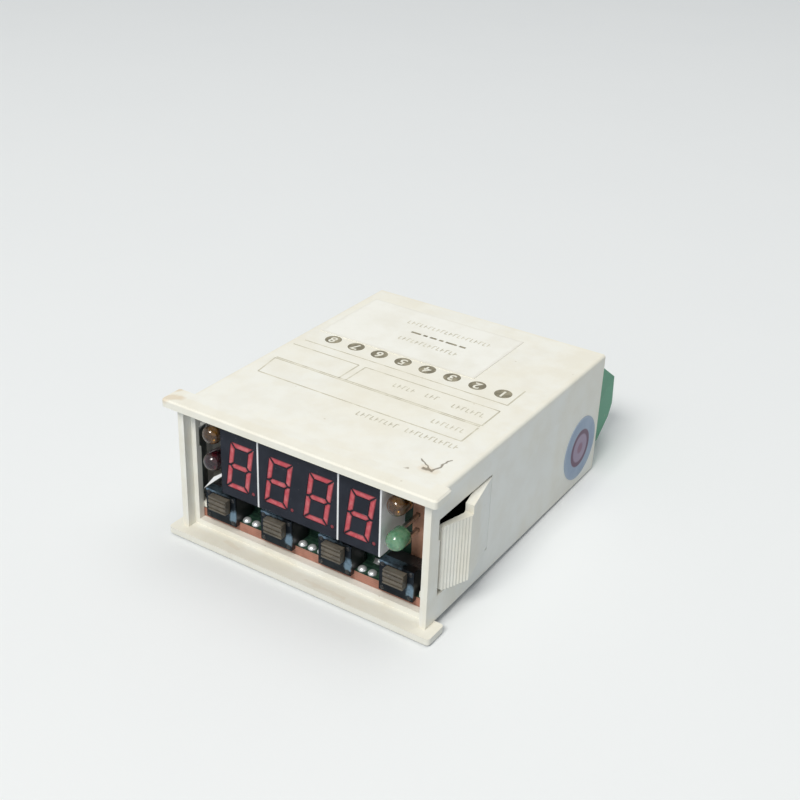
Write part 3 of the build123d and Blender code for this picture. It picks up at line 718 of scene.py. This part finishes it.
def window_outlines(node):
    """Front outlines in mm of the separate prisms of a node: points joined by edges get the same label, and
    the front points of one label are sorted by their angle round their middle."""
    mesh = frame["nodes"][node].data
    points = np.empty(len(mesh.vertices) * 3)
    mesh.vertices.foreach_get("co", points)
    points, same = np.unique(np.round(points.reshape(-1, 3) / MM, 3), axis=0, return_inverse=True)
    edges = np.empty(len(mesh.edges) * 2, np.int32)
    mesh.edges.foreach_get("vertices", edges)
    edges = same.ravel()[edges].reshape(-1, 2)
    labels, earlier = np.arange(len(points)), None
    while earlier is None or (labels != earlier).any():
        earlier = labels.copy()
        np.minimum.at(labels, edges, labels[edges].min(axis=1, keepdims=True))
    in_front = points[:, 1] < points[:, 1].min() + front_depth
    rings = [points[in_front & (labels == label)] for label in np.unique(labels)]
    angles = [np.arctan2(*(ring - ring.mean(axis=0)).T[[2, 0]]) for ring in rings]
    return [ring[np.argsort(angle)] for ring, angle in zip(rings, angles)]


def stepped_in(outline, distance):
    """The outline with its edges moved inwards: a point moves by distance (m + n) / (1 + m.n), where m and n
    are the inward normals of its two edges."""
    forward = np.roll(outline, -1, axis=0) - outline
    forward /= np.linalg.norm(forward, axis=1, keepdims=True)
    inward = np.stack([-forward[:, 2], np.zeros(len(outline)), forward[:, 0]], -1)
    before = np.roll(inward, 1, axis=0)
    return outline + distance * (inward + before) / (1 + (inward * before).sum(axis=1, keepdims=True))


# %% Windows with a soft rim
# Painted light and shade of each window: the rings from the rim inwards get values from 0 to 1, the dots only
# a little.
rim_insets, rim_dips, rim_glows = (0.0, 0.1, 0.26), (0.05, 0.012, 0.0), (0.0, 0.45, 1.0)
dot_reach, dot_glow, dot_inset = 0.5, 0.15, 0.4
for name in ("left", "middle", "right"):
    depth = float(np.ptp(np.array(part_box(f"segments_{name}"))[:, 1])) / MM
    windows, glows = [], []
    for outline in window_outlines(f"segments_{name}"):
        is_dot = np.ptp(outline[:, [0, 2]], axis=0).max() < 2 * dot_reach
        inset_share, glow_share = (dot_inset, dot_glow) if is_dot else (1.0, 1.0)
        rings = [outline + (0, depth, 0)]
        for inset, dip in zip(rim_insets, rim_dips):
            rings.append(stepped_in(outline, inset * inset_share) + (0, dip, 0))
        windows.append(lofted(rings, rings[0].mean(axis=0), rings[-1].mean(axis=0)))
        painted_glow = np.concatenate([np.repeat((0.0, *rim_glows), len(outline)), [0.0, 1.0]])
        glows.append(painted_glow * glow_share)
    piece = make_piece(f"windows_{name}", *gathered(windows), "segment_red", "red_segment")
    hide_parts(f"segments_{name}")
    attribute = piece.data.attributes.new("painted_glow", "FLOAT", "POINT")
    attribute.data.foreach_set("value", np.concatenate(glows).astype(np.float32))
    print("windows", name, len(windows))

# %% [markdown]
# ## LED lenses
# A lens is a turned form: a straight barrel with a small rounding at its base and a half-round dome in front.
# The facets of the solid would show in clear resin, so a smooth lens takes its place. Inside sit the cup that
# carries the chip and the second lead, seen dimly through the tint.

# %% Lenses with their inner leads
dome = np.linspace(0, np.pi / 2, 14)
base_round = 0.1
cup_radii, cup_levels = [0, 0.25, 0.25, 0.6, 0.6, 0.48, 0], [0.1, 0.1, 0.55, 0.75, 1.0, 0.95, 0.8]
post_radii, post_levels = [0, 0.22, 0.22, 0.3, 0], [0.1, 0.1, 0.85, 0.95, 1.0]
cup_rise, post_drop = 0.35, 0.75
forwards = (0, -1, 0)
lens_finish = {
    "led_left_upper": ("amber_resin", "amber_led"), "led_left_lower": ("red_resin", "red_led"),
    "led_right_upper": ("amber_resin", "amber_led"), "led_right_lower": ("green_resin", "green_led"),
}
for node, (finish, slot) in lens_finish.items():
    low, high = (np.array(corner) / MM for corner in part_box(node))
    radius = (high[2] - low[2]) / 2
    straight = high[1] - low[1] - radius
    place = np.array(((low[0] + high[0]) / 2, high[1], (low[2] + high[2]) / 2))
    radii = np.concatenate([[0, radius - base_round, radius], radius * np.cos(dome)])
    heights = np.concatenate([[0, 0, base_round], straight + radius * np.sin(dome)])
    lens = make_piece(f"lens_{node}", *turned(radii, heights, place, forwards), finish, slot)
    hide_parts(node)
    cup_place, post_place = place + (0, 0, cup_rise), place - (0, 0, post_drop)
    cup = turned(cup_radii, np.array(cup_levels) * straight, cup_place, forwards, sides=16)
    post = turned(post_radii, np.array(post_levels) * straight, post_place, forwards, sides=12)
    make_piece(f"cup_{node}", *gathered([cup, post]), "tinned_wire", "tinned_wire")
print("lenses:", list(lens_finish))

# %% [markdown]
# ## Solder
# Solder draws itself into a bead on a round pad and into a hollow curve in a corner. A bead is a turned form,
# widest at its foot; a corner joint is a quarter-round hollow swept along the corner. They take the place of
# the plainer solder solids, on the same spots.

# %% Beads and corner joints
upwards = (0, 0, 1)
bead_spots = [-12.5, -10.7, -1.75, 0.0, 1.75, 9.1, 10.9]
bead_depth, bead_foot, bead_height, bead_taper, bead_power = 1.15, 0.72, 0.6, 0.12, 2.4
board_top = main_high[2] / MM
rise = np.linspace(0, 1, 9)
bead_width = (1 - bead_taper * rise) * np.sqrt(np.clip(1 - rise**bead_power, 0, 1))
bead_radii = np.concatenate([[0], bead_foot * bead_width])
bead_heights = np.concatenate([[0], bead_height * rise])
beads = [
    turned(bead_radii, bead_heights, (x, bead_depth, board_top), upwards, sides=24) for x in bead_spots
]

joint_size, joint_width, joint_pitch, joint_count = 0.6, 1.2, 5.0, 7
face = upright_low[1] / MM
bow = np.linspace(0, np.pi / 2, 7)
hollow = np.stack([np.zeros(7), -joint_size * (1 - np.sin(bow)), joint_size * (1 - np.cos(bow))], -1)
corner = np.vstack([[(0, 0, 0)], hollow])
joint_spots = (np.arange(joint_count) - (joint_count - 1) / 2) * joint_pitch
half_width = joint_width / 2
joints = [
    swept(corner, (x - half_width, face, board_top), (x + half_width, face, board_top)) for x in joint_spots
]
solder = make_piece("solder_beads", *gathered(beads + joints), "bright_solder", "solder")
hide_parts("solder_joints")
print("solder:", len(beads), "beads,", len(joints), "corner joints")

# %% [markdown]
# ## Rivets on the switch covers
# The steel cover of each switch is held by plastic studs, pressed flat into small domes at its corners. They
# are turned forms again, black like the housing behind.

# %% Rivets
rivet_inset, rivet_radius, rivet_height = 0.55, 0.36, 0.14
flat = np.linspace(0, np.pi / 2, 5)
rivet_radii = np.concatenate([[0], rivet_radius * np.cos(flat)])
rivet_heights = np.concatenate([[0], rivet_height * np.sin(flat)])
rivets = []
for number in (1, 2, 3, 4):
    low, high = (np.array(corner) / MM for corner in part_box(f"switch_cover_{number}"))
    for x in (low[0] + rivet_inset, high[0] - rivet_inset):
        for z in (low[2] + rivet_inset, high[2] - rivet_inset):
            rivets.append(turned(rivet_radii, rivet_heights, (x, low[1], z), forwards, sides=16))
make_piece("cover_rivets", *gathered(rivets), "switch_black", "black_plastic")
print("rivets:", len(rivets))

# %% [markdown]
# ## Print on the top
# The top carries the terminal numbers, pale figures on dark discs, and thin rules that part the rows of a
# label. Rows of plain strokes stand for small print. Ink is a film of a hundredth of a millimetre, so discs
# are low turned forms, rules and strokes are flat sweeps, and the figures are text made into a mesh, turned
# to be read from the rear.

# %% Ink finishes
for name, first, second, scale, amount in (
    ("ink_olive", paint(122, 116, 98), paint(168, 160, 138), 650.0, 0.75),
    ("ink_faint", paint(198, 193, 175), paint(224, 220, 204), 500.0, 0.9),
    ("ink_pale", paint(238, 236, 226), paint(222, 218, 204), 650.0, 0.7),
):
    tree, shader = start_finish(name, Specular_IOR_Level=0.3)
    ink = mottled(tree, first, second, scale, amount)
    join_finish(tree, shader, ink, scale=3000.0, gloss=0.6, swing=0.2, relief=0.1, depth=0.01)

# %% Discs
case_top, paper_top = paper_low[2] / MM, paper_high[2] / MM
ink_film = 0.012
disc_first, disc_pitch, disc_row, disc_radius, disc_bevel = 15.45, 4.594, 29.35, 1.42, 0.02
disc_spots = disc_first - disc_pitch * np.arange(8)
disc_radii, disc_heights = [0, disc_radius, disc_radius - disc_bevel, 0], [0, 0, ink_film, ink_film]
discs = [turned(disc_radii, disc_heights, (x, disc_row, case_top), upwards) for x in disc_spots]
make_piece("terminal_discs", *gathered(discs), "ink_olive", "ivory_plastic", smooth=False)
print("discs:", len(discs))

# %% Figures on the discs
figure_size, figure_swell = 2.6, 0.05
figures = []
for number, x in enumerate(disc_spots, 1):
    letter = bpy.data.curves.new(f"figure_{number}", "FONT")
    letter.body = str(number)
    letter.align_x = letter.align_y = "CENTER"
    letter.size = figure_size
    letter.offset = figure_swell
    letter.extrude = ink_film / 2
    letter.resolution_u = 3
    holder = bpy.data.objects.new(f"figure_{number}", letter)
    outline = bpy.data.meshes.new_from_object(holder)
    points = np.empty(len(outline.vertices) * 3)
    outline.vertices.foreach_get("co", points)
    points = points.reshape(-1, 3) * (-1, -1, 1) + (x, disc_row, case_top + 1.5 * ink_film)
    figures.append((points, [list(polygon.vertices) for polygon in outline.polygons]))
    bpy.data.objects.remove(holder)
    bpy.data.meshes.remove(outline)
make_piece("terminal_figures", *gathered(figures), "ink_pale", "ivory_plastic", smooth=False)
print("figures:", len(figures))


# %% Rules of the label
def flat_strip(start, end, width, level):
    """A strip of ink at one level from start to end in X and Y, half its width to either side."""
    (x0, y0), (x1, y1) = start, end
    side = np.array((y0 - y1, x1 - x0, 0.0)) / math.hypot(x1 - x0, y1 - y0) * width / 2
    lift = np.array((0.0, 0.0, ink_film))
    return swept([-side, side, side + lift, -side + lift], (x0, y0, level), (x1, y1, level))


rule_width = 0.26
rules = [
    ((17.7, 12.9), (-19.4, 12.9)), ((17.7, 18.2), (-20.2, 18.2)), ((17.8, 24.1), (-6.6, 24.1)),
    ((-7.9, 24.1), (-21.0, 24.1)), ((17.7, 12.9), (17.7, 17.8)), ((17.8, 18.6), (17.8, 24.1)),
    ((-6.6, 18.6), (-6.6, 24.1)), ((-7.9, 18.6), (-7.9, 24.1)), ((17.8, 26.4), (-20.4, 26.4)),
    ((17.8, 26.4), (17.8, 32.2)), ((-19.4, 12.9), (-20.2, 18.2)), ((17.7, 18.6), (-20.2, 18.6)),
]
strips = [flat_strip(start, end, rule_width, case_top) for start, end in rules]
make_piece("label_rules", *gathered(strips), "ink_faint", "ivory_plastic", smooth=False)
print("rules:", len(strips))

# %% Strokes for small print
case_rows = [
    (1.0, 7.8, 11.0), (9.6, 18.0, 11.0), (11.2, 16.8, 15.6), (0.4, 4.4, 21.8), (6.2, 7.9, 21.9),
    (11.2, 16.8, 21.4),
]
paper_rows = [(-10.4, 5.2, 42.8), (-8.3, 2.9, 36.6)]
stroke_pitch, stroke_height, stroke_width = 0.82, 1.1, 0.2
tick_length, tick_width = 0.45, 0.16
strokes = []
for rows, level in ((case_rows, case_top), (paper_rows, paper_top)):
    for start, end, row in rows:
        foot, head = row - stroke_height / 2, row + stroke_height / 2
        for index, x in enumerate(np.arange(start, end, stroke_pitch)):
            tick = row + stroke_height * (index % 3 - 1) / 2
            strokes.append(flat_strip((x, foot), (x, head), stroke_width, level))
            strokes.append(flat_strip((x, tick), (x + tick_length, tick), tick_width, level))
make_piece("small_print", *gathered(strokes), "ink_faint", "ivory_plastic", smooth=False)
print("strokes:", len(strokes))

# %% Dashes on the paper sticker
dash_start, dash_row, dash_gap, dash_width = -8.4, 39.6, 0.5, 0.5
dash_lengths = np.array((1.9, 0.8, 1.3, 0.8, 2.1, 1.2))
dash_ends = dash_start + np.cumsum(dash_lengths + dash_gap)
dashes = [
    flat_strip((x - length, dash_row), (x, dash_row), dash_width, paper_top)
    for x, length in zip(dash_ends, dash_lengths)
]
make_piece("sticker_dashes", *gathered(dashes), "ink_olive", "white_paper", smooth=False)
print("dashes:", len(dashes))

# %% [markdown]
# ## Floor, world and lamps
# The meter lies on a pale table on its lower lip and its rear edge, so the table leans by one part in 52
# against the meter's own axes. The key lamp stands high in front, square to the open front, so that it
# reaches under the top lip, lights the lower one and the ramp of the latch and only grazes the right side,
# which stays in shade. A weak wide lamp overhead lifts the top. To the camera the table is paler than to the
# light that it throws back.

# %% Floor
floor_reach, floor_level, floor_lean = 1.5, -0.01205, 1.0 / 51.6
floor_corners = [(-1, -1), (1, -1), (1, 1), (-1, 1)]
floor_points = [(x * floor_reach, y * floor_reach) for x, y in floor_corners]
floor_mesh = bpy.data.meshes.new("floor")
floor_mesh.from_pydata([(x, y, floor_level + floor_lean * y) for x, y in floor_points], [], [(0, 1, 2, 3)])
floor = bpy.data.objects.new("floor", floor_mesh)
scene.collection.objects.link(floor)
tree, shader = start_finish("pale_table", Specular_IOR_Level=0.2)
table = mottled(tree, paint(208, 215, 223), paint(202, 210, 219), 20.0, 0.6)
looked_at = put(tree, "ShaderNodeLightPath").outputs["Is Camera Ray"]
table = tinted(tree, table, looked_at, 0.8, paint(244, 245, 246))
join_finish(tree, shader, table, scale=900.0, gloss=0.8, swing=0.1, relief=0.05, depth=0.05)
floor_mesh.materials.append(finishes["pale_table"])
print("floor leans by", round(math.degrees(math.atan(floor_lean)), 2), "degrees")

# %% World
ambient, backdrop, sky_colour = 0.32, 0.80, (0.92, 0.97, 1.0, 1.0)
world = bpy.data.worlds.new("studio")
scene.world = world
world.use_nodes = True
sky = world.node_tree
rays = put(sky, "ShaderNodeLightPath").outputs
mirrored = maths(sky, "MAXIMUM", rays["Is Glossy Ray"], rays["Is Transmission Ray"])
shown = maths(sky, "MAXIMUM", rays["Is Camera Ray"], mirrored)
strength = maths(sky, "ADD", maths(sky, "MULTIPLY", shown, backdrop - ambient), ambient)
sky.nodes["Background"].inputs["Color"].default_value = sky_colour
sky.links.new(strength, sky.nodes["Background"].inputs["Strength"])


# %% Lamps
def soft_lamp(name, place, aim, size, watts, colour):
    """A square area lamp at a place, turned towards a point."""
    lamp = bpy.data.lights.new(name, "AREA")
    lamp.size, lamp.energy, lamp.color = size, watts, colour
    stand = bpy.data.objects.new(name, lamp)
    stand.location = place
    stand.rotation_mode = "QUATERNION"
    stand.rotation_quaternion = (Vector(aim) - Vector(place)).to_track_quat("-Z", "Y")
    scene.collection.objects.link(stand)


middle = (0.0, 0.025, 0.0)
soft_lamp("key", (0.06, -0.92, 1.03), middle, size=0.5, watts=12.8, colour=(1.0, 0.982, 0.93))
soft_lamp("overhead", (0.1, 0.25, 1.2), middle, size=1.0, watts=4.2, colour=(1.0, 0.985, 0.94))
print("lamps:", [light.name for light in bpy.data.lights])
